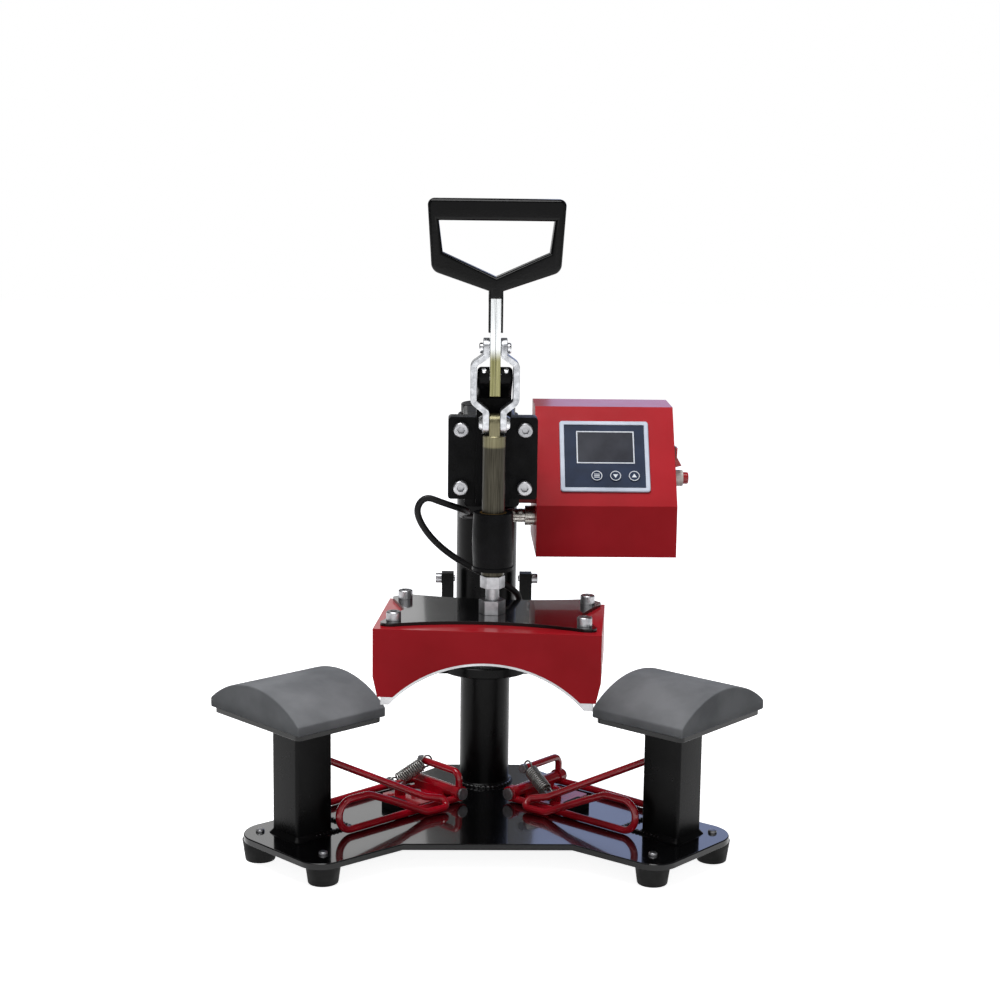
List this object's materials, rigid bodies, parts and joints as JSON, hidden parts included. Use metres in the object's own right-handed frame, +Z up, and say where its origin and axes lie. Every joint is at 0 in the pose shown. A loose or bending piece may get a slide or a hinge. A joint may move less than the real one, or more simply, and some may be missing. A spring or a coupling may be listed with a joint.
{
  "type": "cap heat press",
  "caption": "Manual cap heat press: curved pads on a floor plate, a swinging head with a toggle lever, plunger, arched heater and a sloped control box.",
  "frame": {"origin": "centre of the bounding box's underside, on the surface the rubber feet stand on", "axes": "+Z up, -Y towards the operator, +X to the operator's right"},
  "size_m": [0.5222, 0.3602, 0.623],
  "materials": {
    "gloss_black_coat": "gloss",
    "satin_black_coat": "satin",
    "black_casting": "satin",
    "foot_rubber": "matt",
    "pad_rubber": "matt",
    "zinc_steel": "satin",
    "bright_steel": "polished",
    "link_steel": "satin",
    "plunger_zinc": "satin",
    "spring_steel": "dull",
    "bronze_bush": "satin",
    "red_coat": "semi-gloss",
    "dark_red_coat": "satin",
    "crimson_coat": "gloss",
    "platen_alloy": "satin",
    "element_steel": "dull",
    "insulation_wool": "matt",
    "bezel_plastic": "satin",
    "panel_plastic": "matt",
    "display_plastic": "gloss",
    "key_rubber": "matt",
    "switch_black": "satin",
    "rocker_red": "gloss",
    "barrel_white": "gloss",
    "button_red": "gloss",
    "nickel_plate": "polished",
    "gland_black": "matt",
    "cable_jacket": "matt",
    "grip_plastic": "gloss"
  },
  "bodies": {
    "stand": {"base_plate": "gloss_black_coat", "rubber_feet": "foot_rubber", "foot_screws": "zinc_steel", "column": "satin_black_coat", "column_cap": "satin_black_coat", "stop_collar": "satin_black_coat", "collar_screws": "zinc_steel", "thrust_washer": "zinc_steel", "pad_posts": "satin_black_coat", "pad_plates": "gloss_black_coat", "silicone_pads": "pad_rubber", "hinge_bases": "satin_black_coat", "hinge_bolts": "zinc_steel", "rubber_buffers": "foot_rubber", "left_spring": "spring_steel", "right_spring": "spring_steel"},
    "swing_head": {"sleeve": "satin_black_coat", "sleeve_bushes": "bronze_bush", "swing_arm": "satin_black_coat", "clamp_body": "black_casting", "clamp_screws": "zinc_steel", "rod_bush": "bronze_bush", "fork_pin": "bright_steel", "control_bracket": "dark_red_coat", "box_screws": "zinc_steel", "control_box": "red_coat", "box_cover": "red_coat", "controller_bezel": "bezel_plastic", "controller_body": "panel_plastic", "display_window": "display_plastic", "rocker_frame": "switch_black", "button_barrel": "barrel_white", "box_socket": "nickel_plate", "cable_plug": "nickel_plate", "inlet_gland": "gland_black", "heater_cable": "cable_jacket"},
    "plunger": {"plunger_rod": "plunger_zinc", "heater_stud": "zinc_steel", "lock_nut": "zinc_steel", "heater_plate": "gloss_black_coat", "heater_screws": "zinc_steel", "heater_housing": "red_coat", "heater_insulation": "insulation_wool", "heater_element": "element_steel", "heater_platen": "platen_alloy", "heater_gland": "gland_black"},
    "handle": {"lever_plates": "bright_steel", "handle_grip": "grip_plastic", "link_pin": "bright_steel"},
    "links": {"link_plates": "link_steel", "link_rivets": "bright_steel"},
    "left_frame": {"left_cap_frame": "crimson_coat", "left_frame_fasteners": "zinc_steel"},
    "right_frame": {"right_cap_frame": "crimson_coat", "right_frame_fasteners": "zinc_steel"},
    "set_key": {"key_set": "key_rubber"},
    "down_key": {"key_down": "key_rubber"},
    "up_key": {"key_up": "key_rubber"},
    "rocker": {"power_rocker": "rocker_red"},
    "button": {"push_button": "button_red"}
  },
  "joints": [
    {"name": "swing", "type": "hinge", "parent": "stand", "child": "swing_head", "pos_m": [0, 0.12808, 0], "axis": [0, 0, 1], "range_deg": [-48, 48]},
    {"name": "plunger_slide", "type": "slide", "parent": "swing_head", "child": "plunger", "axis": [0, 0, -1], "range_m": [0, 0.044], "deforming": ["heater_cable"]},
    {"name": "handle_pivot", "type": "hinge", "parent": "swing_head", "child": "handle", "pos_m": [0, -0.11192, 0.4705], "axis": [1, 0, 0], "range_deg": [0, 147]},
    {"name": "link_pivot", "type": "hinge", "parent": "handle", "child": "links", "pos_m": [0, -0.11192, 0.4952], "axis": [1, 0, 0], "range_deg": [-135.13, 0]},
    {"name": "left_frame_hinge", "type": "hinge", "parent": "stand", "child": "left_frame", "pos_m": [-0.0483, 0.08459, 0.036], "axis": [-0.6691, 0.7431, 0], "range_deg": [0, 12], "stiffness_Nm_per_rad": 3, "springref_deg": -17.19, "deforming": ["left_spring"]},
    {"name": "right_frame_hinge", "type": "hinge", "parent": "stand", "child": "right_frame", "pos_m": [0.0483, 0.08459, 0.036], "axis": [-0.6691, -0.7431, 0], "range_deg": [0, 12], "stiffness_Nm_per_rad": 3, "springref_deg": -17.19, "deforming": ["right_spring"]},
    {"name": "set_key_press", "type": "slide", "parent": "swing_head", "child": "set_key", "axis": [0, 0.8128, -0.5826], "range_m": [0, 0.0005], "stiffness_N_per_m": 400, "springref_m": -0.0005},
    {"name": "down_key_press", "type": "slide", "parent": "swing_head", "child": "down_key", "axis": [0, 0.8128, -0.5826], "range_m": [0, 0.0005], "stiffness_N_per_m": 400, "springref_m": -0.0005},
    {"name": "up_key_press", "type": "slide", "parent": "swing_head", "child": "up_key", "axis": [0, 0.8128, -0.5826], "range_m": [0, 0.0005], "stiffness_N_per_m": 400, "springref_m": -0.0005},
    {"name": "button_press", "type": "slide", "parent": "swing_head", "child": "button", "axis": [-1, 0, 0], "range_m": [0, 0.003], "stiffness_N_per_m": 300, "springref_m": -0.001},
    {"name": "rocker_pivot", "type": "hinge", "parent": "swing_head", "child": "rocker", "pos_m": [0.177, 0.06208, 0.374], "axis": [0, 1, 0], "range_deg": [0, 28]}
  ],
  "couplings": [
    {"joint": "handle_pivot", "follows": "plunger_slide", "rad_per_m": 58.31},
    {"joint": "link_pivot", "follows": "plunger_slide", "rad_per_m": -53.601}
  ]
}
